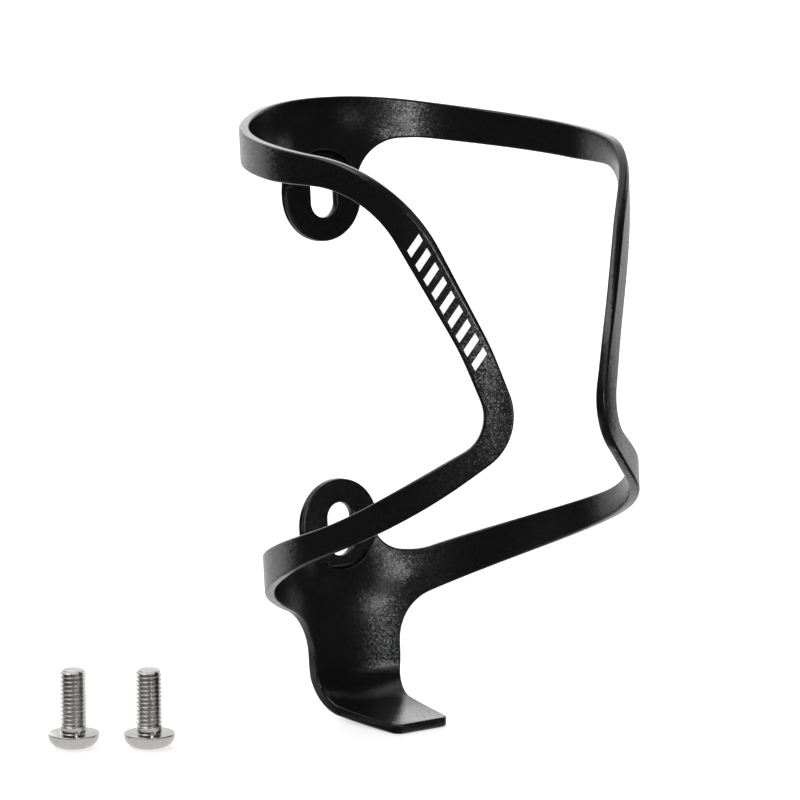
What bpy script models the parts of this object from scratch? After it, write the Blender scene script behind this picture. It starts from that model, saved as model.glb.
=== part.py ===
"""A one-piece bicycle bottle cage and its two M5 mounting bolts.

The cage is designed as a flat pattern: a closed outline in the plane (s, v), where s runs round the
bottle from the middle of the back and v runs up it. The pattern is then wrapped round the bottle,
flattened at the two tabs, and bent forward at the bottom into a foot. The cage stands on that foot and
leans back, and the bolts stand on their heads beside it. Metres, +Z up, -Y is the front.
"""
import bpy
import bmesh
from math import acos, atan2, ceil, cos, hypot, pi, radians, sin, tan
from mathutils import Matrix, Vector
from mathutils.geometry import area_tri, delaunay_2d_cdt

# Sheet and ring
RING_RADIUS = 0.0356        # outside of the wrapped sheet
RING_FLARE = 0.0147         # growth of the ring's front radius for each metre of height
FLARE_FROM = -0.0050        # height at which the ring is round
STRUT_ANGLE = radians(145.0)    # direction, from the back, in which each diagonal strut faces
STRUT_REACH = radians(20.0)     # half of the angle that a strut covers
STRUT_FLATNESS = 0.00075    # how far a strut's middle lies inside the round ring
WALL = 0.0019               # sheet thickness
EDGE_RADIUS = 0.0004        # rounding of every rim
BEVEL = 0.0006              # extra width of the rounding along each strap's front edge, at its widest
BEVEL_MIDDLE = 0.0840       # distance round the ring of that place
BEVEL_REACH = 0.0200        # over which the extra width fades out, either way
BEVEL_FLOOR = -0.0120       # height below which there is none
LEAN = radians(4.67)        # how far the bottle's axis leans back when the foot is flat on a table

# Tabs: flat discs, each with an upright slot for one bolt
TAB_RADIUS = 0.0090
TAB_HEIGHT = 0.0320         # of each disc's centre, above and below the middle
TAB_BACK = 0.0374           # distance of the tabs' back plane from the bottle's axis
TAB_WALL = 0.0016           # thickness left by the flat facing inside each disc
FACING_STEP = 0.0004        # width of the step round the facing
TAB_BLEND = 0.0100          # how far the sheet takes to come back from the tab plane to the ring
SLOT_HEIGHT = 0.0328        # of each slot's centre, above and below the middle
SLOT_HALF_WIDTH = 0.0029
SLOT_HALF_LENGTH = 0.00515

# Foot: the spine's line turns forward through BEND_TURN on an outer radius
BEND_CORNER = -0.0679       # height of the corner that the bend rounds off
BEND_RADIUS = 0.0090
BEND_TURN = radians(90) - LEAN
FOOT_LENGTH = 0.0235        # from the bend's corner to the front edge
FOOT_FRONT_HALF = 0.0062
FOOT_CORNER = 0.0022
SPINE_HALF = 0.0109

# Bolts: ISO 7380 M5 x 12 button heads
THREAD_RADIUS = 0.00245
THREAD_LENGTH = 0.0120
TIP_CHAMFER = 0.0005
HEAD_RADIUS = 0.00475
HEAD_HEIGHT = 0.00275
HEAD_FLAT_RADIUS = 0.0022   # flat ring round the socket
HEAD_RIM = 0.0004           # straight part of the head's edge
SOCKET_ACROSS_FLATS = 0.0030
SOCKET_DEPTH = 0.0016
BOLT_PLACES = ((-0.0596, -0.0015), (-0.0483, -0.0100))

# Mesh fineness
LINE_STEP = 0.0024
ARC_STEP = radians(14)
GRID_STEP = 0.0024
RIM_STEPS = 2
BOLT_SIDES = 32
SLIVER = 1e-9               # area below which a triangle is only rounding error on a straight edge

BEND_TANGENT = BEND_RADIUS * tan(BEND_TURN / 2)
BEND_START = BEND_CORNER + BEND_TANGENT
BEND_END = BEND_START - BEND_RADIUS * BEND_TURN
FOOT_END = BEND_END - (FOOT_LENGTH - BEND_TANGENT)

# Corners of the pattern's right half, as (s, v, rounding radius)
OUTER_EDGE = (
    (0.0000, 0.0508, 0.0),
    (0.0102, 0.0508, 0.115),
    (0.0823, 0.0384, 0.031),
    (0.0978, 0.0058, 0.060),
    (0.1036, -0.0106, 0.0106),
    (0.0810, -0.0250, 0.120),
    (0.0110, -0.0487, 0.0100),
    (SPINE_HALF, BEND_START, 0.030),
    (FOOT_FRONT_HALF, FOOT_END, FOOT_CORNER),
    (0.0000, FOOT_END, 0.0),
)
WINDOW_EDGE = (
    (0.0000, TAB_HEIGHT - TAB_RADIUS, 0.0),
    (TAB_RADIUS, TAB_HEIGHT - TAB_RADIUS, TAB_RADIUS - 0.00001),
    (TAB_RADIUS, 0.0421, 0.0065),
    (0.0200, 0.0420, 0.030),
    (0.0551, 0.0367, 0.060),
    (0.0763, 0.0349, 0.020),
    (0.0920, 0.0052, 0.060),
    (0.0976, -0.0097, 0.0072),
    (0.0674, -0.0247, 0.080),
    (0.0160, -0.0382, 0.012),
    (TAB_RADIUS, -0.0378, 0.0045),
    (TAB_RADIUS, TAB_RADIUS - TAB_HEIGHT, TAB_RADIUS - 0.00001),
    (0.0000, TAB_RADIUS - TAB_HEIGHT, 0.0),
)


def start_scene():
    for old in list(bpy.data.objects):
        bpy.data.objects.remove(old, do_unlink=True)


def material(name, color, metallic, roughness):
    made = bpy.data.materials.new(name)
    made.use_nodes = True
    shader = made.node_tree.nodes["Principled BSDF"]
    shader.inputs["Base Color"].default_value = (*color, 1.0)
    shader.inputs["Metallic"].default_value = metallic
    shader.inputs["Roughness"].default_value = roughness
    return made


def add_object(name, bm, finish):
    mesh = bpy.data.meshes.new(name)
    bm.to_mesh(mesh)
    bm.free()
    mesh.materials.append(finish)
    mesh.shade_smooth()
    mesh.set_sharp_from_angle(angle=radians(35))
    made = bpy.data.objects.new(name, mesh)
    bpy.context.scene.collection.objects.link(made)
    return made


# ---------------------------------------------------------------- flat pattern

def round_corner(before, corner, after, radius):
    """Points of the arc that rounds a corner off."""
    back = (before - corner).normalized()
    on = (after - corner).normalized()
    half = acos(max(-1.0, min(1.0, back.dot(on)))) / 2
    centre = corner + (back + on).normalized() * (radius / sin(half))
    first = corner + back * (radius / tan(half)) - centre
    last = corner + on * (radius / tan(half)) - centre
    turn = atan2(first.x * last.y - first.y * last.x, first.dot(last))
    steps = max(2, ceil(abs(turn) / ARC_STEP), ceil(abs(turn) * radius / LINE_STEP))
    return [centre + Matrix.Rotation(turn * i / steps, 2) @ first for i in range(steps + 1)]


def trace(corners):
    """Points along a polyline with rounded corners, no further apart than LINE_STEP."""
    places = [Vector(c[:2]) for c in corners]
    knots = [places[0]]
    for i in range(1, len(corners) - 1):
        knots += round_corner(places[i - 1], places[i], places[i + 1], corners[i][2])
    knots.append(places[-1])
    points = [knots[0]]
    for a, b in zip(knots, knots[1:]):
        steps = ceil((b - a).length / LINE_STEP)
        if (b - a).length > LINE_STEP * 0.1:
            points += [a.lerp(b, i / steps) for i in range(1, steps + 1)]
    return points


def mirrored_loop(corners):
    """A closed loop from the right half of a pattern edge that starts and ends on s = 0."""
    right = trace(corners)
    left = [Vector((-p.x, p.y)) for p in reversed(right[1:-1])]
    return right + left


def slot_loop(height):
    """A slot's outline: two half circles joined by straight sides."""
    reach = SLOT_HALF_LENGTH - SLOT_HALF_WIDTH
    count = 2 * ceil(pi / ARC_STEP)
    loop = []
    for i in range(count):
        angle = 2 * pi * (i + 0.5) / count
        lift = reach if sin(angle) > 0 else -reach
        loop.append(Vector((SLOT_HALF_WIDTH * cos(angle), height + lift + SLOT_HALF_WIDTH * sin(angle))))
    return loop


def shifted(loop, distances):
    """The loop moved into the material, which is left of its direction, by each point's distance."""
    moved = []
    for i, p in enumerate(loop):
        along = (loop[(i + 1) % len(loop)] - loop[i - 1]).normalized()
        moved.append(p + Vector((-along.y, along.x)) * distances[i])
    return moved


def bevel_width(point):
    """Width of the rounded margin at a point of the outer edge."""
    from_middle = min(1.0, abs(abs(point.x) - BEVEL_MIDDLE) / BEVEL_REACH)
    rise = max(0.0, min(1.0, (point.y - BEVEL_FLOOR) / BEVEL_REACH))
    return EDGE_RADIUS + BEVEL * cos(from_middle * pi / 2) ** 2 * rise


def signed_area(loop):
    return sum(a.x * b.y - b.x * a.y for a, b in zip(loop, loop[1:] + loop[:1])) / 2


def inside(point, loop):
    hit = False
    for a, b in zip(loop, loop[1:] + loop[:1]):
        if (a.y > point.y) != (b.y > point.y):
            if point.x < a.x + (point.y - a.y) / (b.y - a.y) * (b.x - a.x):
                hit = not hit
    return hit


def nearest(point, loops):
    """Distance from a point to the nearest loop point."""
    return min((point - p).length for loop in loops for p in loop)


def fill_points(loops):
    """Points inside the pattern: a triangular grid, and rings along the facing's step."""
    outer, holes = loops[0], loops[1:]
    candidates = []
    for side in (1, -1):
        for radius in (TAB_RADIUS, TAB_RADIUS + FACING_STEP):
            for i in range(36):
                angle = 2 * pi * i / 36
                candidates.append(Vector((radius * cos(angle), side * TAB_HEIGHT + radius * sin(angle))))
    kept = [p for p in candidates if inside(p, outer) and not any(inside(p, h) for h in holes)
            and nearest(p, loops) > 0.4 * GRID_STEP]
    rings = list(kept)
    rows = ceil((loops[0][0].y - FOOT_END) / (GRID_STEP * sin(pi / 3)))
    columns = ceil(0.11 / GRID_STEP)
    for row in range(rows + 1):
        v = FOOT_END + row * GRID_STEP * sin(pi / 3)
        for column in range(-columns, columns + 1):
            p = Vector(((column + 0.5 * (row % 2)) * GRID_STEP, v))
            if not inside(p, outer) or any(inside(p, h) for h in holes):
                continue
            if nearest(p, loops) < 0.6 * GRID_STEP:
                continue
            if rings and nearest(p, [rings]) < 0.45 * GRID_STEP:
                continue
            kept.append(p)
    return kept


# ---------------------------------------------------------------- wrapping the pattern

def centre_line(v):
    """(y, z) of the sheet's outside on the middle plane, and its outward normal."""
    if v > BEND_START:
        return Vector((RING_RADIUS, v)), Vector((1.0, 0.0))
    turned = min(BEND_TURN, (BEND_START - v) / BEND_RADIUS)
    middle = Vector((RING_RADIUS - BEND_RADIUS, BEND_START))
    normal = Vector((cos(turned), -sin(turned)))
    place = middle + normal * BEND_RADIUS
    if v < BEND_END:
        place += Vector((-normal.y, normal.x)) * -(BEND_END - v)
    return place, normal


def ring_radius(angle, v):
    """Outside radius of the ring: it flares a little upwards and is flatter along the diagonal struts."""
    flare = RING_FLARE * (v - FLARE_FROM) * (1 - cos(angle)) / 2
    from_strut = min(1.0, abs(abs(angle) - STRUT_ANGLE) / STRUT_REACH)
    return RING_RADIUS + flare - STRUT_FLATNESS * cos(from_strut * pi / 2) ** 2


def tab_share(s, v):
    """1 on a tab's flat disc, falling to 0 where the sheet is back on the ring."""
    away = min(hypot(s, v - TAB_HEIGHT), hypot(s, v + TAB_HEIGHT)) - TAB_RADIUS
    return (1 - min(1.0, max(0.0, away / TAB_BLEND))) ** 2


def outside_point(s, v):
    """The pattern's point (s, v) on the wrapped sheet's outside."""
    flat = min(1.0, max(0.0, (BEND_END - v) / (BEND_END - FOOT_END)))
    place, normal = centre_line(v)
    angle = s / RING_RADIUS
    radius = ring_radius(angle, v)
    place = place - normal * (RING_RADIUS - radius * cos(angle)) * (1 - flat)
    across = radius * sin(angle) * (1 - flat) + s * flat
    ring = Vector((across, place.x, place.y))
    return ring.lerp(Vector((s, TAB_BACK, v)), tab_share(s, v))


def sheet_point(s, v, depth):
    """The point that lies depth below the sheet's outside."""
    probe = 0.00005
    right = outside_point(s + probe, v) - outside_point(s - probe, v)
    up = outside_point(s, v + probe) - outside_point(s, v - probe)
    return outside_point(s, v) + right.cross(up).normalized() * depth


def wall_at(s, v):
    """Sheet thickness, thinner on the facing inside each tab's disc."""
    away = min(hypot(s, v - TAB_HEIGHT), hypot(s, v + TAB_HEIGHT)) - TAB_RADIUS
    share = min(1.0, max(0.0, away / FACING_STEP))
    return TAB_WALL + (WALL - TAB_WALL) * share


def cage_mesh():
    """Outside and inside of the sheet over one triangulation, joined round every edge by a rounded rim."""
    outer = mirrored_loop(OUTER_EDGE)
    holes = [mirrored_loop(WINDOW_EDGE), slot_loop(SLOT_HEIGHT), slot_loop(-SLOT_HEIGHT)]
    edges = [outer if signed_area(outer) > 0 else outer[::-1]]
    edges += [h if signed_area(h) < 0 else h[::-1] for h in holes]
    insets = [shifted(edges[0], [bevel_width(p) for p in edges[0]])]
    insets += [shifted(loop, [EDGE_RADIUS] * len(loop)) for loop in edges[1:]]
    flat_points = [p for loop in insets for p in loop]
    rings, links = [], []
    for loop in insets:
        first = sum(len(r) for r in rings)
        ring = list(range(first, first + len(loop)))
        rings.append(ring)
        links += list(zip(ring, ring[1:] + ring[:1]))
    flat_points += fill_points(insets)
    found = delaunay_2d_cdt(flat_points, links, [], 0, 1e-7)
    corners, triangles = found[0], found[2]
    if len(corners) != len(flat_points):
        raise RuntimeError("the pattern's edges cross")
    source = {group[0]: i for i, group in enumerate(found[3])}

    bm = bmesh.new()
    outer_skin = [bm.verts.new(sheet_point(p.x, p.y, 0.0)) for p in corners]
    inner = [bm.verts.new(sheet_point(p.x, p.y, wall_at(p.x, p.y))) for p in corners]
    for triangle in triangles:
        if area_tri(*(corners[i] for i in triangle)) < SLIVER:
            continue
        middle = sum((corners[i] for i in triangle), Vector((0, 0))) / 3
        if inside(middle, insets[0]) and not any(inside(middle, h) for h in insets[1:]):
            bm.faces.new([outer_skin[i] for i in triangle])
            bm.faces.new([inner[i] for i in reversed(triangle)])
    for ring, inset, edge in zip(rings, insets, edges):
        add_rim(bm, [outer_skin[source[i]] for i in ring], [inner[source[i]] for i in ring], inset, edge)
    bmesh.ops.recalc_face_normals(bm, faces=bm.faces)
    return bm


def add_rim(bm, top, bottom, inset, edge):
    """The rounded rim between one edge of the outside and the same edge of the inside."""
    rows = [top]
    for i in range(1, RIM_STEPS + 1):
        angle = pi / 2 * i / RIM_STEPS
        rows.append([rim_vertex(bm, a, b, sin(angle), EDGE_RADIUS * (1 - cos(angle)), False)
                     for a, b in zip(inset, edge)])
    for i in range(RIM_STEPS, 0, -1):
        angle = pi / 2 * i / RIM_STEPS
        rows.append([rim_vertex(bm, a, b, 1 - (1 - sin(angle)) * EDGE_RADIUS / (b - a).length,
                                EDGE_RADIUS * (1 - cos(angle)), True)
                     for a, b in zip(inset, edge)])
    rows.append(bottom)
    for upper, lower in zip(rows, rows[1:]):
        for j in range(len(upper)):
            k = (j + 1) % len(upper)
            bm.faces.new((upper[j], lower[j], lower[k], upper[k]))


def rim_vertex(bm, inset, edge, share, sunk, from_inside):
    """A rim point share of the way out from inset to edge, sunk below the nearer face."""
    place = inset.lerp(edge, share)
    depth = wall_at(inset.x, inset.y) - sunk if from_inside else sunk
    return bm.verts.new(sheet_point(place.x, place.y, depth))


# ---------------------------------------------------------------- bolts

def dome_radius_at(height):
    """Radius of the button head at a height above its flat end."""
    rise = HEAD_HEIGHT - HEAD_RIM
    share = min(1.0, height / rise)
    return HEAD_FLAT_RADIUS + (HEAD_RADIUS - HEAD_FLAT_RADIUS) * (1 - (1 - share) ** 2) ** 0.5


def bolt_mesh():
    """A bolt standing on its head at the origin, its thread as a plain shank."""
    rise = HEAD_HEIGHT - HEAD_RIM
    profile = [(dome_radius_at(rise * (i / 6) ** 2), rise * (i / 6) ** 2) for i in range(7)]
    profile += [(HEAD_RADIUS, HEAD_HEIGHT), (THREAD_RADIUS, HEAD_HEIGHT)]
    top = HEAD_HEIGHT + THREAD_LENGTH
    profile += [(THREAD_RADIUS, top - TIP_CHAMFER), (THREAD_RADIUS - TIP_CHAMFER, top)]
    bm = bmesh.new()
    rows = []
    for radius, z in profile:
        angles = [2 * pi * i / BOLT_SIDES for i in range(BOLT_SIDES)]
        rows.append([bm.verts.new((radius * cos(a), radius * sin(a), z)) for a in angles])
    for lower, upper in zip(rows, rows[1:]):
        for j in range(BOLT_SIDES):
            k = (j + 1) % BOLT_SIDES
            bm.faces.new((lower[j], lower[k], upper[k], upper[j]))
    bm.faces.new(rows[0][::-1])
    bm.faces.new(rows[-1])
    return bm


def socket_cutter():
    """A hexagonal prism that cuts the key socket into a head standing at the origin."""
    bm = bmesh.new()
    overshoot = 0.001
    bmesh.ops.create_cone(bm, cap_ends=True, segments=6, radius1=SOCKET_ACROSS_FLATS / 2 / cos(pi / 6),
                          radius2=SOCKET_ACROSS_FLATS / 2 / cos(pi / 6), depth=SOCKET_DEPTH + overshoot)
    bmesh.ops.translate(bm, verts=bm.verts, vec=(0, 0, (SOCKET_DEPTH - overshoot) / 2))
    return bm


def add_bolt(name, place, floor, finish):
    bolt = add_object(name, bolt_mesh(), finish)
    cutter = add_object(name + "_socket", socket_cutter(), finish)
    cutter.hide_render = True
    cutter.display_type = "WIRE"
    bolt.location = (*place, floor)
    cutter.parent = bolt
    cut = bolt.modifiers.new("socket", "BOOLEAN")
    cut.operation = "DIFFERENCE"
    cut.solver = "EXACT"
    cut.object = cutter
    return bolt


def main():
    start_scene()
    anodised = material("black_anodised", (0.012, 0.012, 0.013), 0.0, 0.45)
    stainless = material("stainless", (0.60, 0.59, 0.57), 1.0, 0.25)

    frame = bpy.data.objects.new("boss_frame", None)
    bpy.context.scene.collection.objects.link(frame)
    frame.rotation_euler = (-LEAN, 0.0, 0.0)
    cage = add_object("cage_body", cage_mesh(), anodised)
    cage.parent = frame
    cage.location = (0.0, -TAB_BACK, 0.0)

    sole, _ = centre_line(FOOT_END)
    floor = sole.y * cos(LEAN) - (sole.x - TAB_BACK) * sin(LEAN)
    for number, place in enumerate(BOLT_PLACES, 1):
        add_bolt(f"mounting_bolt_{number}", place, floor, stainless)


main()
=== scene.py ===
"""Studio scene of a bicycle bottle cage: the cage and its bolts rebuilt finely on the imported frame."""
from math import acos, atan2, ceil, cos, pi, radians, sin, tan

import bmesh
import bpy
import numpy as np
from mathutils import Matrix, Vector
from mathutils.geometry import delaunay_2d_cdt


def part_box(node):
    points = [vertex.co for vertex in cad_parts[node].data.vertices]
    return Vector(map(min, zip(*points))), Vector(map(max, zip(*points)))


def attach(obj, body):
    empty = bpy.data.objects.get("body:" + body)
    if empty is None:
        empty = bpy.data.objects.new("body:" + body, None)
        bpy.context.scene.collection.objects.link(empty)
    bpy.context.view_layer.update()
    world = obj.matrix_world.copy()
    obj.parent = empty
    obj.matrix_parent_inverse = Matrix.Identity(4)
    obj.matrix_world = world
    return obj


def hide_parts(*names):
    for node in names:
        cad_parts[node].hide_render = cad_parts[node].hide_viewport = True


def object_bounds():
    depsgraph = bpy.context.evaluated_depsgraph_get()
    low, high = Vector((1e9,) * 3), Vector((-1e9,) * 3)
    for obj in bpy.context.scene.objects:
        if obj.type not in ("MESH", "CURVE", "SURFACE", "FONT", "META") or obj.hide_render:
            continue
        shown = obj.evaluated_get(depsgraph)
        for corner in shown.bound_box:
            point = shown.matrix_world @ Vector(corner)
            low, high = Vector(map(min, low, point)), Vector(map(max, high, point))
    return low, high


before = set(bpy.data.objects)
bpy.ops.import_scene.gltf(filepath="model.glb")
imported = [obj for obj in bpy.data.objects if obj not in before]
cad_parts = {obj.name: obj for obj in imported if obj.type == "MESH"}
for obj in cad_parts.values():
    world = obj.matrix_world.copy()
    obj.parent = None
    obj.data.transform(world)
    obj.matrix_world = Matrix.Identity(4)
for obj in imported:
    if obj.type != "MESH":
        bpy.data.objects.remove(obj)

CAD_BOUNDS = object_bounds()

# ---------------------------------------------------------------- the cage's sizes, as in the CAD, metres

# Places on the flat pattern are (s, v): s runs round the ring from the spine, v up along the bottle.
RING_RADIUS = 0.0356        # of the wrapped sheet's outside
RING_FLARE = 0.0147         # growth of the ring's radius at the front for each metre of v
FLARE_FROM = -0.0050        # v at which the ring is round
STRUT_ANGLE = radians(145.0)    # of each diagonal strut's middle, round from the spine
STRUT_REACH = radians(20.0)     # from there to where the flattening ends, either way
STRUT_FLATNESS = 0.00075    # how far a strut's middle lies inside the round ring
WALL = 0.0019               # sheet thickness
EDGE_RADIUS = 0.0004        # of the rounding along every rim
BEVEL = 0.0006              # extra width of the rounding on each side strap's front edge, at most
BEVEL_MIDDLE = 0.0840       # s at which it is widest
BEVEL_REACH = 0.0200        # length of s, and of v, over which it grows from nothing
BEVEL_FLOOR = -0.0120       # v below which there is none
LEAN = radians(4.67)        # how far the bottle's axis leans back

TAB_RADIUS = 0.0090
TAB_CORNER = TAB_RADIUS - 0.00001   # just less, so that a trace of each straight side is left
TAB_HEIGHT = 0.0320         # of each tab's centre, above and below v = 0
TAB_BACK = 0.0374           # distance from the bottle's axis to the tabs' back plane
TAB_WALL = 0.0016           # sheet thickness inside each tab's disc
FACING_STEP = 0.0004        # width over which the sheet thins to that
TAB_BLEND = 0.0100          # width over which the sheet comes from the tab's plane to the ring
SLOT_HEIGHT = 0.0328        # of each slot's centre, above and below v = 0
SLOT_HALF_WIDTH = 0.0029
SLOT_HALF_LENGTH = 0.00515

BEND_CORNER = -0.0679       # v of the sharp corner that the bend to the foot rounds off
BEND_RADIUS = 0.0090
BEND_TURN = radians(90) - LEAN
FOOT_LENGTH = 0.0235        # from that corner to the foot's front edge
FOOT_FRONT_HALF = 0.0062    # half widths
FOOT_CORNER = 0.0022
SPINE_HALF = 0.0109

BEND_TANGENT = BEND_RADIUS * tan(BEND_TURN / 2)
BEND_START = BEND_CORNER + BEND_TANGENT
BEND_END = BEND_START - BEND_RADIUS * BEND_TURN
FOOT_END = BEND_END - (FOOT_LENGTH - BEND_TANGENT)

# Corners of the pattern's right half: (s, v, radius of the rounding)
OUTER_EDGE = (
    (0.0000, 0.0508, 0.0),
    (0.0102, 0.0508, 0.115),
    (0.0823, 0.0384, 0.031),
    (0.0978, 0.0058, 0.060),
    (0.1036, -0.0106, 0.0106),
    (0.0810, -0.0250, 0.120),
    (0.0110, -0.0487, 0.0100),
    (SPINE_HALF, BEND_START, 0.030),
    (FOOT_FRONT_HALF, FOOT_END, FOOT_CORNER),
    (0.0000, FOOT_END, 0.0),
)
WINDOW_EDGE = (
    (0.0000, TAB_HEIGHT - TAB_RADIUS, 0.0),
    (TAB_RADIUS, TAB_HEIGHT - TAB_RADIUS, TAB_CORNER),
    (TAB_RADIUS, 0.0421, 0.0065),
    (0.0200, 0.0420, 0.030),
    (0.0551, 0.0367, 0.060),
    (0.0763, 0.0349, 0.020),
    (0.0920, 0.0052, 0.060),
    (0.0976, -0.0097, 0.0072),
    (0.0674, -0.0247, 0.080),
    (0.0160, -0.0382, 0.012),
    (TAB_RADIUS, -0.0378, 0.0045),
    (TAB_RADIUS, TAB_RADIUS - TAB_HEIGHT, TAB_CORNER),
    (0.0000, TAB_RADIUS - TAB_HEIGHT, 0.0),
)

# Mesh fineness
LINE_STEP = 0.0009
ARC_STEP = radians(5)
GRID_STEP = 0.0013
# Radii of the rings of points laid along each facing's step
FACING_RINGS = tuple(TAB_RADIUS + FACING_STEP * k for k in (-0.4, 0.0, 0.5, 1.0, 1.4))
FACING_POINTS = 120         # on each of those rings
SUPPORT = 0.00015           # how far inside each rim the row lies that keeps its shading narrow
BEVEL_ROWS = (0.12, 0.37, 0.63, 0.88, 1.0)     # places across the bevel, and steps of each rounding
SLIVER = 1e-10              # area below which a triangle is only rounding error on a straight edge
NEARNESS = 1e-8             # distance below which the triangulation takes two points as one
PROBE = 0.00002             # step on the pattern over which the sheet's slope is measured

# ---------------------------------------------------------------- the bars on the left strap, metres

STRIPE_COUNT = 9
STRIPE_START = (0.0849, 0.0247)     # (s, v) on the strap's middle line, mirrored to the left strap
STRIPE_END = (0.0954, 0.0040)
STRIPE_WIDTH = 0.0033
STRIPE_LENGTH = 0.0014
STRIPE_SLANT = 0.0016       # how far along the strap a bar's one end lies past the other
STRIPE_LIFT = 0.00003       # above the sheet's outside
STRIPE_CELLS = 6

# ---------------------------------------------------------------- the bolts' sizes, M5 x 0.8 x 12, metres

THREAD_RADIUS = 0.00244
ROOT_RADIUS = 0.00200
PITCH = 0.0008
THREAD_CREST = 0.12         # share of the pitch that the flat crest takes
THREAD_FLANKS = 0.70        # share of the pitch that both flanks take
THREAD_LENGTH = 0.0120
THREAD_RUN_OUT = 0.9        # pitches over which the thread starts
NECK_LENGTH = 0.0011        # from the head to where the thread starts
NECK_RADIUS = THREAD_RADIUS - 0.00006
NECK_FILLET = 0.00018
TIP_CHAMFER = 0.00045
TIP_SLOPE = 1.15            # loss of radius for each length of the chamfer
TIP_STEP = 0.00008          # loss of radius at the very end
HEAD_RADIUS = 0.00475
HEAD_HEIGHT = 0.00275
HEAD_FLAT_RADIUS = 0.0022
HEAD_RIM = 0.0004           # height of the head's straight side
DOME_POWER = 1.6            # crowds the dome's rows towards the flat
EDGE_BREAK = 0.00012        # of the head's and the socket's edges
SOCKET_ACROSS_FLATS = 0.0030
SOCKET_DEPTH = 0.0016
SOCKET_BOTTOM = 0.98        # size of the socket's bottom against its hexagon
SOCKET_POINT = 0.0004       # extra depth in the middle
SOCKET_CREASE = 0.00005     # height of the step between the socket's walls and its bottom
AXIS_GAP = 0.00002          # radius of the smallest ring at either end

AROUND = 96                 # points on each ring of a bolt
ROWS_PER_PITCH = 12
DOME_ROWS = 20
ROUND_ROWS = 4

# ---------------------------------------------------------------- looks and studio

FACET_SCALE = 5000.0
FACET_TILT = 0.12
WORLD_STRENGTH = 1.1
FLOOR_HALF = 6.0
CARD_RADIUS = 1.3           # from the target to every curved card
CARD_SINK = 0.5             # how far the tall cards reach below the floor
CARD_STEPS = 24
# name, azimuths in degrees, height of the lower edge above the floor, height of the top, glow
CARDS = (
    ("front_card", -62, 88, -CARD_SINK, 2.4, 0.0),
    ("front_left_card", -150, -62, -CARD_SINK, 0.95, 0.0),
    ("right_card", 88, 125, -CARD_SINK, 1.6, 0.95),
    ("back_right_card", 125, 165, 0.0, 0.9, 1.9),
    ("left_card", -192, -150, -CARD_SINK, 1.2, 1.1),
)
FLOOR_CARD = (-142, 88)     # azimuths, in degrees, of the dark card under the floor
FLOOR_CARD_NEAR = 0.005     # radius of its inner edge
FLOOR_CARD_DEPTH = 0.002
# Corners of a bright sheet under the bolts, and ends of a bright upright card behind them, as (x, y)
BOLT_CARD_GLOW = 0.9
BOLT_MAT = ((-0.09, -0.04), (-0.03, -0.04), (-0.03, 0.02), (-0.09, 0.02))
BOLT_MAT_DEPTH = 0.001
BOLT_SCREEN = ((-0.0414, 0.0408), (-0.0126, 0.0192))
BOLT_SCREEN_HEIGHT = 0.03
# name, azimuth and elevation in degrees, distance, size, spread, power, height aimed at over the target
SOFTBOXES = (
    ("upper_softbox", -20, 9, 0.32, (0.045, 0.07), pi, 0.16, 0.0),
    ("lower_softbox", 13, 0.5, 0.32, (0.08, 0.05), radians(24), 0.0036, -0.029),
    ("bevel_softbox", -6, 17, 1.2, (0.30, 0.25), pi, 0.55, 0.0),
    ("side_softbox", -88, 48, 1.2, (0.8, 0.6), pi, 3.5, 0.0),
)

# ---------------------------------------------------------------- camera

CAMERA_AZIMUTH = radians(-37.10)
CAMERA_ELEVATION = radians(8.49)
CAMERA_DISTANCE = 0.7560
CAMERA_LENS = 182.9
CAMERA_SHIFT = (-0.0550, -0.0411)


# ---------------------------------------------------------------- flat pattern

def round_corner(before, corner, after, radius):
    """Points of the arc that rounds a corner off."""
    back = (before - corner).normalized()
    on = (after - corner).normalized()
    half = acos(max(-1.0, min(1.0, back.dot(on)))) / 2
    centre = corner + (back + on).normalized() * (radius / sin(half))
    first = corner + back * (radius / tan(half)) - centre
    last = corner + on * (radius / tan(half)) - centre
    turn = atan2(first.x * last.y - first.y * last.x, first.dot(last))
    steps = max(2, ceil(abs(turn) / ARC_STEP), ceil(abs(turn) * radius / LINE_STEP))
    return [centre + Matrix.Rotation(turn * i / steps, 2) @ first for i in range(steps + 1)]


def trace(corners):
    """Points along a polyline with rounded corners, no further apart than LINE_STEP."""
    places = [Vector(c[:2]) for c in corners]
    knots = [places[0]]
    for i in range(1, len(corners) - 1):
        knots += round_corner(places[i - 1], places[i], places[i + 1], corners[i][2])
    knots.append(places[-1])
    points = [knots[0]]
    for a, b in zip(knots, knots[1:]):
        steps = ceil((b - a).length / LINE_STEP)
        if (b - a).length > LINE_STEP * 0.1:
            points += [a.lerp(b, i / steps) for i in range(1, steps + 1)]
    return points


def mirrored_loop(corners):
    """A closed loop from the right half of a pattern edge that starts and ends on s = 0."""
    right = trace(corners)
    left = [Vector((-p.x, p.y)) for p in reversed(right[1:-1])]
    return np.array(right + left)


def slot_loop(height):
    """A slot's outline: two half circles joined by straight sides."""
    reach = SLOT_HALF_LENGTH - SLOT_HALF_WIDTH
    count = 2 * ceil(pi / ARC_STEP)
    angle = 2 * pi * (np.arange(count) + 0.5) / count
    lift = np.where(np.sin(angle) > 0, reach, -reach)
    return np.c_[SLOT_HALF_WIDTH * np.cos(angle), height + lift + SLOT_HALF_WIDTH * np.sin(angle)]


def turned(loop, wanted):
    """The loop running anticlockwise if wanted is positive, clockwise if not."""
    x, y = loop[:, 0], loop[:, 1]
    area = np.sum(x * np.roll(y, -1) - np.roll(x, -1) * y)
    return loop if area * wanted > 0 else loop[::-1]


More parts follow.
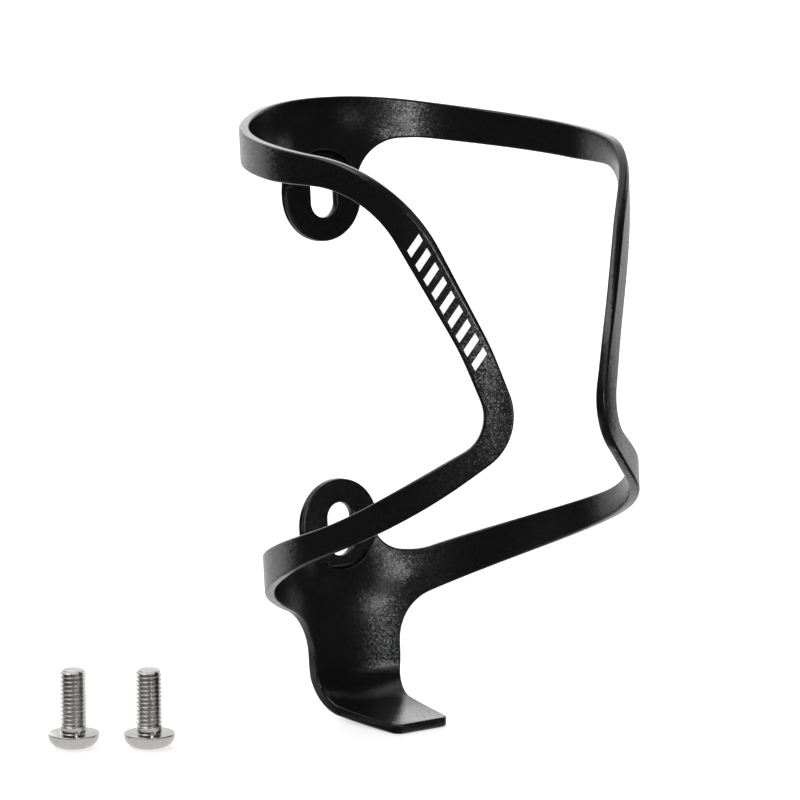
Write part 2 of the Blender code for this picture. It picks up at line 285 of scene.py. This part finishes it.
def shifted(loop, distance):
    """The loop moved to the left of its direction by distance, one number or one per point."""
    along = np.roll(loop, -1, axis=0) - np.roll(loop, 1, axis=0)
    along /= np.linalg.norm(along, axis=1)[:, None]
    return loop + np.c_[-along[:, 1], along[:, 0]] * np.reshape(distance, (-1, 1))


def inside(points, loop):
    """For each point, whether it is inside the loop."""
    hit = np.zeros(len(points), bool)
    for a, b in zip(loop, np.roll(loop, -1, axis=0)):
        if a[1] == b[1]:
            continue
        crosses = (a[1] > points[:, 1]) != (b[1] > points[:, 1])
        at = a[0] + (points[:, 1] - a[1]) / (b[1] - a[1]) * (b[0] - a[0])
        hit ^= crosses & (points[:, 0] < at)
    return hit


def gap_to(points, others):
    """Distance from each point to the nearest of the others."""
    best = np.full(len(points), np.inf)
    for other in others:
        best = np.minimum(best, np.hypot(points[:, 0] - other[0], points[:, 1] - other[1]))
    return best


def in_pattern(points, loops):
    """For each point, whether it is inside the first loop and outside all the others."""
    kept = inside(points, loops[0])
    for hole in loops[1:]:
        kept &= ~inside(points, hole)
    return kept


def fill_points(loops):
    """Points inside the pattern: rings along each facing's step, and a triangular grid."""
    edge_points = np.vstack(loops)
    angle = 2 * pi * np.arange(FACING_POINTS) / FACING_POINTS
    rings = []
    for side in (1, -1):
        for radius in FACING_RINGS:
            rings.append(np.c_[radius * np.cos(angle), side * TAB_HEIGHT + radius * np.sin(angle)])
    rings = np.vstack(rings)
    rings = rings[in_pattern(rings, loops)]
    rings = rings[gap_to(rings, edge_points) > 0.3 * LINE_STEP]
    low, high = edge_points.min(axis=0), edge_points.max(axis=0)
    rise = GRID_STEP * sin(pi / 3)
    rows = []
    for row, v in enumerate(np.arange(low[1], high[1], rise)):
        s = np.arange(low[0], high[0], GRID_STEP) + 0.5 * GRID_STEP * (row % 2)
        rows.append(np.c_[s, np.full(len(s), v)])
    grid = np.vstack(rows)
    grid = grid[in_pattern(grid, loops)]
    grid = grid[gap_to(grid, edge_points) > 0.55 * GRID_STEP]
    grid = grid[gap_to(grid, rings) > 0.5 * GRID_STEP]
    return np.vstack([rings, grid])


# ---------------------------------------------------------------- wrapping the pattern

def centre_line(v):
    """(y, z) of the sheet's outside on the middle plane, and its outward normal, for each v."""
    turned_by = np.clip((BEND_START - v) / BEND_RADIUS, 0.0, BEND_TURN)
    normal = np.c_[np.cos(turned_by), -np.sin(turned_by)]
    place = np.array([RING_RADIUS - BEND_RADIUS, BEND_START]) + normal * BEND_RADIUS
    place[:, 1] += np.maximum(0.0, v - BEND_START)
    along = np.c_[-normal[:, 1], normal[:, 0]]
    return place - along * np.maximum(0.0, BEND_END - v)[:, None], normal


def ring_radius(angle, v):
    """Outside radius of the ring: it flares a little upwards and is flatter along the diagonal struts."""
    flare = RING_FLARE * (v - FLARE_FROM) * (1 - np.cos(angle)) / 2
    from_strut = np.minimum(1.0, np.abs(np.abs(angle) - STRUT_ANGLE) / STRUT_REACH)
    return RING_RADIUS + flare - STRUT_FLATNESS * np.cos(from_strut * pi / 2) ** 2


def tab_gap(s, v):
    """Distance outside the nearer tab's disc, negative inside it."""
    return np.minimum(np.hypot(s, v - TAB_HEIGHT), np.hypot(s, v + TAB_HEIGHT)) - TAB_RADIUS


def outside_points(s, v):
    """Places on the wrapped sheet's outside, in the cage's own upright frame."""
    share = (1 - np.clip(tab_gap(s, v) / TAB_BLEND, 0.0, 1.0))[:, None] ** 2
    flat = np.clip((BEND_END - v) / (BEND_END - FOOT_END), 0.0, 1.0)
    place, normal = centre_line(v)
    angle = s / RING_RADIUS
    radius = ring_radius(angle, v)
    place = place - normal * ((RING_RADIUS - radius * np.cos(angle)) * (1 - flat))[:, None]
    across = radius * np.sin(angle) * (1 - flat) + s * flat
    ring = np.c_[across, place]
    tab = np.c_[s, np.full(len(s), TAB_BACK), v]
    return ring * (1 - share) + tab * share


def sheet_points(flat_points, depth):
    """Places that lie depth below the sheet's outside, in the frame that all the pieces share."""
    s, v = flat_points[:, 0], flat_points[:, 1]
    right = outside_points(s + PROBE, v) - outside_points(s - PROBE, v)
    up = outside_points(s, v + PROBE) - outside_points(s, v - PROBE)
    inward = np.cross(right, up)
    inward /= np.linalg.norm(inward, axis=1)[:, None]
    upright = outside_points(s, v) + inward * np.broadcast_to(depth, len(s))[:, None]
    y, z = upright[:, 1] - TAB_BACK, upright[:, 2]
    return np.c_[upright[:, 0], y * cos(LEAN) + z * sin(LEAN), z * cos(LEAN) - y * sin(LEAN)]


def wall_at(flat_points):
    """Sheet thickness, thinner on the facing inside each tab's disc."""
    share = np.clip(tab_gap(flat_points[:, 0], flat_points[:, 1]) / FACING_STEP, 0.0, 1.0)
    return TAB_WALL + (WALL - TAB_WALL) * share ** 2 * (3 - 2 * share)


def bevel_width(points):
    """Width of the rounded margin at points of the outer edge."""
    from_middle = np.minimum(1.0, np.abs(np.abs(points[:, 0]) - BEVEL_MIDDLE) / BEVEL_REACH)
    rise = np.clip((points[:, 1] - BEVEL_FLOOR) / BEVEL_REACH, 0.0, 1.0)
    return EDGE_RADIUS + BEVEL * np.cos(from_middle * pi / 2) ** 2 * rise


def rim_rows(inset, edge):
    """The places down one rounded rim, from the outside's edge to the inside's."""
    wall = wall_at(inset)
    width = np.linalg.norm(edge - inset, axis=1)
    flat = np.clip((width - EDGE_RADIUS) / BEVEL, 0.0, 1.0)
    outer_rows, inner_rows = [], []
    for i, along in enumerate(BEVEL_ROWS, 1):
        angle = pi / 2 * i / len(BEVEL_ROWS)
        dip = 1 - cos(angle)
        share = (1 - flat) * sin(angle) + flat * along
        sunk = EDGE_RADIUS * ((1 - flat) * dip + flat * along)
        outer_rows.append(sheet_points(inset + (edge - inset) * share[:, None], sunk))
        share = 1 - (1 - sin(angle)) * EDGE_RADIUS / width
        inner_rows.append(sheet_points(inset + (edge - inset) * share[:, None], wall - EDGE_RADIUS * dip))
    return outer_rows + inner_rows[::-1]


def cage_mesh():
    """Outside and inside over one triangulation, joined round every edge by a rounded rim."""
    edges = [turned(mirrored_loop(OUTER_EDGE), 1)]
    edges += [turned(loop, -1) for loop in
              (mirrored_loop(WINDOW_EDGE), slot_loop(SLOT_HEIGHT), slot_loop(-SLOT_HEIGHT))]
    insets = [shifted(edges[0], bevel_width(edges[0]))]
    insets += [shifted(loop, EDGE_RADIUS) for loop in edges[1:]]
    support = [shifted(loop, SUPPORT) for loop in insets]
    flat_points = np.vstack(insets + support + [fill_points(insets)])
    rings, links, first = [], [], 0
    for loop in insets:
        ring = list(range(first, first + len(loop)))
        rings.append(ring)
        links += list(zip(ring, ring[1:] + ring[:1]))
        first += len(loop)
    found = delaunay_2d_cdt([Vector(p) for p in flat_points.tolist()], links, [], 0, NEARNESS)
    corners = np.array(found[0])
    triangles = np.array(found[2])
    triangles = triangles[in_pattern(corners[triangles].mean(axis=1), insets)]
    sides = corners[triangles[:, 1:]] - corners[triangles[:, :1]]
    area = np.abs(sides[:, 0, 0] * sides[:, 1, 1] - sides[:, 0, 1] * sides[:, 1, 0]) / 2
    triangles = triangles[area > SLIVER]
    index = {group[0]: i for i, group in enumerate(found[3]) if group}

    count = len(corners)
    places = [sheet_points(corners, 0.0), sheet_points(corners, wall_at(corners))]
    faces = [tuple(t) for t in triangles.tolist()]
    faces += [(a + count, c + count, b + count) for a, b, c in triangles.tolist()]
    total = 2 * count
    for ring, inset, edge in zip(rings, insets, edges):
        top = [index[i] for i in ring]
        size = len(ring)
        rows = rim_rows(inset, edge)
        levels = [top] + [list(range(total + k * size, total + (k + 1) * size)) for k in range(len(rows))]
        levels.append([i + count for i in top])
        places += rows
        total += size * len(rows)
        for upper, lower in zip(levels, levels[1:]):
            faces += [(upper[j], lower[j], lower[(j + 1) % size], upper[(j + 1) % size])
                      for j in range(size)]
    return np.vstack(places), faces


def add_mesh(name, places, faces, finish):
    """A smooth-shaded mesh object with every face turned outwards."""
    mesh = bpy.data.meshes.new(name)
    mesh.from_pydata(np.asarray(places).tolist(), [], faces)
    mesh.materials.append(finish)
    bm = bmesh.new()
    bm.from_mesh(mesh)
    bmesh.ops.recalc_face_normals(bm, faces=bm.faces)
    bm.to_mesh(mesh)
    bm.free()
    mesh.shade_smooth()
    made = bpy.data.objects.new(name, mesh)
    bpy.context.scene.collection.objects.link(made)
    return made


# ---------------------------------------------------------------- stripes on the left strap

def stripe_mesh():
    """A row of plain slanted bars printed along the left strap's outside."""
    start, end = np.array(STRIPE_START), np.array(STRIPE_END)
    along = (end - start) / np.linalg.norm(end - start)
    across = np.array([along[1], -along[0]])
    places, faces = [], []
    for number in range(STRIPE_COUNT):
        middle = start + (end - start) * number / (STRIPE_COUNT - 1)
        first = number * (STRIPE_CELLS + 1) * 3
        grid = []
        for i in range(STRIPE_CELLS + 1):
            w = i / STRIPE_CELLS - 0.5
            for t in (-0.5, 0.0, 0.5):
                reach = STRIPE_LENGTH * t + STRIPE_SLANT * w
                grid.append(middle + across * STRIPE_WIDTH * w + along * reach)
        places.append(sheet_points(np.array(grid) * (-1, 1), -STRIPE_LIFT))
        for i in range(STRIPE_CELLS):
            for j in range(2):
                a = first + i * 3 + j
                faces.append((a, a + 1, a + 4, a + 3))
    return np.vstack(places), faces


# ---------------------------------------------------------------- bolts

def thread_depth(turns):
    """How far the thread's surface lies below its crest, 0 to 1, for a place along it in pitches."""
    place = np.abs((turns % 1.0) - 0.5) * 2
    return np.clip((place - THREAD_CREST) / THREAD_FLANKS, 0.0, 1.0)


def socket_rows(angle):
    """(radii, height) of each ring of the hex socket, from its middle out to the head's flat."""
    hexagon = SOCKET_ACROSS_FLATS / 2 / np.cos((angle + pi / 6) % (pi / 3) - pi / 6)
    return [(np.full(AROUND, AXIS_GAP), SOCKET_DEPTH + SOCKET_POINT),
            (hexagon * SOCKET_BOTTOM, SOCKET_DEPTH),
            (hexagon, SOCKET_DEPTH - SOCKET_CREASE),
            (hexagon, EDGE_BREAK),
            (hexagon + EDGE_BREAK, 0.0)]


def head_rows():
    """(radii, height) of each ring of the head, from its flat over the dome to the bearing face."""
    rise = HEAD_HEIGHT - HEAD_RIM
    rows = []
    for i in range(DOME_ROWS + 1):
        share = (i / DOME_ROWS) ** DOME_POWER
        bulge = (1 - (1 - share) ** 2) ** 0.5
        rows.append((HEAD_FLAT_RADIUS + (HEAD_RADIUS - HEAD_FLAT_RADIUS) * bulge, rise * share))
    for i in range(ROUND_ROWS + 1):
        turn = pi / 2 * i / ROUND_ROWS
        rows.append((HEAD_RADIUS - EDGE_BREAK * (1 - cos(turn)),
                     HEAD_HEIGHT - EDGE_BREAK * (1 - sin(turn))))
    return [(np.full(AROUND, radius), height) for radius, height in rows]


def shank_rows(angle):
    """(radii, height) of each ring of the fillet under the head, the neck, the thread and the tip."""
    rows = []
    for i in range(ROUND_ROWS + 1):
        turn = pi / 2 * i / ROUND_ROWS
        rows.append((np.full(AROUND, NECK_RADIUS + NECK_FILLET * (1 - sin(turn))),
                     HEAD_HEIGHT + NECK_FILLET * (1 - cos(turn))))
    start = HEAD_HEIGHT + NECK_LENGTH
    top = HEAD_HEIGHT + THREAD_LENGTH
    steps = int(round((top - HEAD_HEIGHT - NECK_FILLET) / PITCH * ROWS_PER_PITCH))
    for i in range(1, steps + 1):
        z = HEAD_HEIGHT + NECK_FILLET + (top - HEAD_HEIGHT - NECK_FILLET) * i / steps
        depth = thread_depth((z - start) / PITCH - angle / (2 * pi))
        cut = np.clip((z - start) / (THREAD_RUN_OUT * PITCH), 0.0, 1.0)
        crest = NECK_RADIUS + (THREAD_RADIUS - NECK_RADIUS) * cut
        limit = THREAD_RADIUS - max(0.0, z - (top - TIP_CHAMFER)) * TIP_SLOPE
        rows.append((np.minimum(crest - (THREAD_RADIUS - ROOT_RADIUS) * depth * cut, limit), z))
    rows.append((rows[-1][0] - TIP_STEP, top))
    rows.append((np.full(AROUND, AXIS_GAP), top))
    return rows


def bolt_mesh(base):
    """One bolt standing on its head at base, with its real thread and hex socket."""
    angle = 2 * pi * np.arange(AROUND) / AROUND
    rows = socket_rows(angle) + head_rows() + shank_rows(angle)
    places = [np.c_[r * np.cos(angle), r * np.sin(angle), np.full(AROUND, z)] for r, z in rows]
    faces = []
    for k in range(len(rows) - 1):
        for j in range(AROUND):
            n = (j + 1) % AROUND
            faces.append((k * AROUND + j, k * AROUND + n, (k + 1) * AROUND + n, (k + 1) * AROUND + j))
    faces.append(tuple(range(AROUND))[::-1])
    faces.append(tuple(range((len(rows) - 1) * AROUND, len(rows) * AROUND)))
    return np.vstack(places) + np.array(base), faces


# ---------------------------------------------------------------- materials

def new_material(name):
    """A material with nodes, together with its node tree and its shader."""
    made = bpy.data.materials.new(name)
    made.use_nodes = True
    return made, made.node_tree, made.node_tree.nodes["Principled BSDF"]


def add_node(tree, kind, **settings):
    """A node whose inputs, or else whose own properties, are set by name."""
    node = tree.nodes.new(kind)
    for key, value in settings.items():
        if key in node.inputs:
            node.inputs[key].default_value = value
        else:
            setattr(node, key, value)
    return node


def add_cloud(tree, place, scale, detail):
    """The value of a soft noise."""
    cloud = add_node(tree, "ShaderNodeTexNoise", Scale=scale, Detail=detail)
    tree.links.new(place, cloud.inputs["Vector"])
    return cloud.outputs["Fac"]


def vary_colour(tree, shader, value, dark, light):
    """Base colour that goes from dark to light as the value goes from 0 to 1."""
    colour = add_node(tree, "ShaderNodeMix", data_type="RGBA")
    colour.inputs["A"].default_value = (*dark, 1.0)
    colour.inputs["B"].default_value = (*light, 1.0)
    tree.links.new(value, colour.inputs["Factor"])
    tree.links.new(colour.outputs["Result"], shader.inputs["Base Color"])


def vary_roughness(tree, shader, value, low, high):
    """Roughness that goes from low to high as the value goes from 0.3 to 0.7."""
    ramp = add_node(tree, "ShaderNodeMapRange")
    ramp.inputs["From Min"].default_value = 0.3
    ramp.inputs["From Max"].default_value = 0.7
    ramp.inputs["To Min"].default_value = low
    ramp.inputs["To Max"].default_value = high
    tree.links.new(value, ramp.inputs["Value"])
    tree.links.new(ramp.outputs["Result"], shader.inputs["Roughness"])


def set_glow(shader, strength):
    """White light given off by the surface itself."""
    shader.inputs["Emission Color"].default_value = (1.0, 1.0, 1.0, 1.0)
    shader.inputs["Emission Strength"].default_value = strength


def blasted_anodised():
    """Black anodised aluminium, bead blasted: tiny facets that sparkle where they catch a light."""
    made, tree, shader = new_material("black_anodised_blasted")
    link = tree.links.new
    place = add_node(tree, "ShaderNodeTexCoord").outputs["Object"]
    shader.inputs["Metallic"].default_value = 0.0
    shader.inputs["IOR"].default_value = 1.5

    facets = add_node(tree, "ShaderNodeTexVoronoi", Scale=FACET_SCALE)
    link(place, facets.inputs["Vector"])
    vary_colour(tree, shader, facets.outputs["Distance"],
                (0.0030, 0.0030, 0.0034), (0.0090, 0.0090, 0.0096))
    vary_roughness(tree, shader, add_cloud(tree, place, 90.0, 3.0), 0.21, 0.26)

    centred = add_node(tree, "ShaderNodeVectorMath", operation="SUBTRACT")
    link(facets.outputs["Color"], centred.inputs[0])
    centred.inputs[1].default_value = (0.5, 0.5, 0.5)
    tilt = add_node(tree, "ShaderNodeVectorMath", operation="SCALE")
    tilt.inputs["Scale"].default_value = FACET_TILT
    link(centred.outputs["Vector"], tilt.inputs[0])
    tilted = add_node(tree, "ShaderNodeVectorMath", operation="ADD")
    link(add_node(tree, "ShaderNodeNewGeometry").outputs["Normal"], tilted.inputs[0])
    link(tilt.outputs["Vector"], tilted.inputs[1])
    unit = add_node(tree, "ShaderNodeVectorMath", operation="NORMALIZE")
    link(tilted.outputs["Vector"], unit.inputs[0])
    link(unit.outputs["Vector"], shader.inputs["Normal"])
    return made


def polished_stainless():
    """Bright stainless steel, slightly uneven."""
    made, tree, shader = new_material("stainless_bolt")
    place = add_node(tree, "ShaderNodeTexCoord").outputs["Object"]
    shader.inputs["Metallic"].default_value = 1.0
    cloud = add_cloud(tree, place, 900.0, 3.0)
    vary_colour(tree, shader, cloud, (0.47, 0.46, 0.445), (0.56, 0.55, 0.535))
    vary_roughness(tree, shader, cloud, 0.16, 0.24)
    bump = add_node(tree, "ShaderNodeBump", Strength=0.1, Distance=0.00002)
    tree.links.new(cloud, bump.inputs["Height"])
    tree.links.new(bump.outputs["Normal"], shader.inputs["Normal"])
    return made


def white_print_painted_glow():
    """White printed ink, slightly uneven in tone, with a faint painted glow: light of its own that keeps
    it white however it is lit.
    """
    made, tree, shader = new_material("white_ink_painted_glow")
    place = add_node(tree, "ShaderNodeTexCoord").outputs["Object"]
    vary_colour(tree, shader, add_cloud(tree, place, 2600.0, 2.0), (0.90, 0.90, 0.89), (0.99, 0.99, 0.98))
    shader.inputs["Roughness"].default_value = 0.5
    # Painted glow: the ink gives off faint light of its own, so it stays white even in shade.
    set_glow(shader, 0.15)
    return made


def studio_material(name, tone, roughness, glow):
    """An even grey surface that also gives off light of its own."""
    made, _, shader = new_material(name)
    shader.inputs["Base Color"].default_value = (tone, tone, tone, 1.0)
    shader.inputs["Roughness"].default_value = roughness
    set_glow(shader, glow)
    return made


# ---------------------------------------------------------------- studio

def add_floor(z):
    """The pale floor, which doesn't show in reflections."""
    half = FLOOR_HALF
    corners = [(-half, -half, z), (half, -half, z), (half, half, z), (-half, half, z)]
    finish = studio_material("studio_floor", 0.60, 0.5, 0.62)
    made = add_mesh("studio_floor", corners, [(0, 1, 2, 3)], finish)
    made.visible_glossy = False


def add_card(name, corners, faces, glow):
    """A card beside the object, which the camera itself doesn't see."""
    made = add_mesh(name, corners, faces, studio_material("studio_card", 0.01, 1.0, glow))
    made.visible_camera = False


def add_curved_card(name, azimuths, edges, glow, target):
    """A card that runs round the target between two azimuths, given (radius, z) of both its edges."""
    first, last = azimuths
    corners, faces = [], []
    for i in range(CARD_STEPS + 1):
        a = first + (last - first) * i / CARD_STEPS
        for radius, z in edges:
            corners.append((target.x + radius * sin(a), target.y - radius * cos(a), z))
    for i in range(CARD_STEPS):
        faces.append((2 * i, 2 * i + 1, 2 * i + 3, 2 * i + 2))
    add_card(name, corners, faces, glow)


def direction(azimuth, elevation):
    """Unit vector away from the target: azimuth 0 is the front, -Y, and a quarter turn is +X."""
    return Vector((sin(azimuth) * cos(elevation), -cos(azimuth) * cos(elevation), sin(elevation)))


def add_softbox(name, azimuth, elevation, distance, size, spread, power, aim):
    """A rectangular light that points at aim."""
    data = bpy.data.lights.new(name, "AREA")
    data.spread = spread
    data.shape = "RECTANGLE"
    data.size, data.size_y = size
    data.energy = power
    made = bpy.data.objects.new(name, data)
    away = direction(radians(azimuth), radians(elevation))
    made.location = aim + away * distance
    made.rotation_euler = away.to_track_quat("Z", "Y").to_euler()
    made.visible_camera = False
    bpy.context.scene.collection.objects.link(made)


def add_world():
    """Even white light from all round."""
    world = bpy.data.worlds.new("studio")
    world.use_nodes = True
    background = world.node_tree.nodes["Background"]
    background.inputs["Color"].default_value = (1.0, 1.0, 1.0, 1.0)
    background.inputs["Strength"].default_value = WORLD_STRENGTH
    bpy.context.scene.world = world


def build_studio(floor_z, target):
    """Floor, world light, reflection cards and softboxes."""
    add_floor(floor_z)
    add_world()
    for name, first, last, low, top, glow in CARDS:
        edges = ((CARD_RADIUS, floor_z + low), (CARD_RADIUS, top))
        add_curved_card(name, (radians(first), radians(last)), edges, glow, target)
    z = floor_z - FLOOR_CARD_DEPTH
    azimuths = [radians(a) for a in FLOOR_CARD]
    add_curved_card("floor_card", azimuths, ((FLOOR_CARD_NEAR, z), (CARD_RADIUS, z)), 0.0, target)
    mat = [(x, y, floor_z - BOLT_MAT_DEPTH) for x, y in BOLT_MAT]
    add_card("bolt_mat", mat, [(0, 1, 2, 3)], BOLT_CARD_GLOW)
    screen = [(x, y, floor_z) for x, y in BOLT_SCREEN]
    screen += [(x, y, floor_z + BOLT_SCREEN_HEIGHT) for x, y in reversed(BOLT_SCREEN)]
    add_card("bolt_screen", screen, [(0, 1, 2, 3)], BOLT_CARD_GLOW)
    for *settings, height in SOFTBOXES:
        add_softbox(*settings, target + Vector((0.0, 0.0, height)))
    bpy.context.scene.view_settings.view_transform = "Standard"


def add_camera(target):
    """The camera that sees the object as the photo does."""
    data = bpy.data.cameras.new("camera")
    data.lens = CAMERA_LENS
    data.sensor_width = 36.0
    data.shift_x, data.shift_y = CAMERA_SHIFT
    data.clip_start = 0.01
    camera = bpy.data.objects.new("camera", data)
    back = direction(CAMERA_AZIMUTH, CAMERA_ELEVATION)
    camera.location = target + back * CAMERA_DISTANCE
    camera.rotation_euler = back.to_track_quat("Z", "Y").to_euler()
    bpy.context.scene.collection.objects.link(camera)
    bpy.context.scene.camera = camera


def main():
    """The cage with its printed bars, the two bolts, the studio and the camera."""
    target = Vector((0.0, -TAB_BACK * cos(LEAN), TAB_BACK * sin(LEAN)))
    floor_z = CAD_BOUNDS[0][2]

    cage = add_mesh("cage_shell", *cage_mesh(), blasted_anodised())
    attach(cage, "cage")
    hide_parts("cage_body")

    stripes = add_mesh("strap_stripes", *stripe_mesh(), white_print_painted_glow())
    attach(stripes, "cage")

    steel = polished_stainless()
    for number in (1, 2):
        low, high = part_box(f"mounting_bolt_{number}")
        base = ((low[0] + high[0]) / 2, (low[1] + high[1]) / 2, low[2])
        bolt = add_mesh(f"threaded_bolt_{number}", *bolt_mesh(base), steel)
        bolt.data.set_sharp_from_angle(angle=radians(50))
        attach(bolt, f"bolt_{number}")
        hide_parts(f"mounting_bolt_{number}")

    build_studio(floor_z, target)
    add_camera(target)


main()
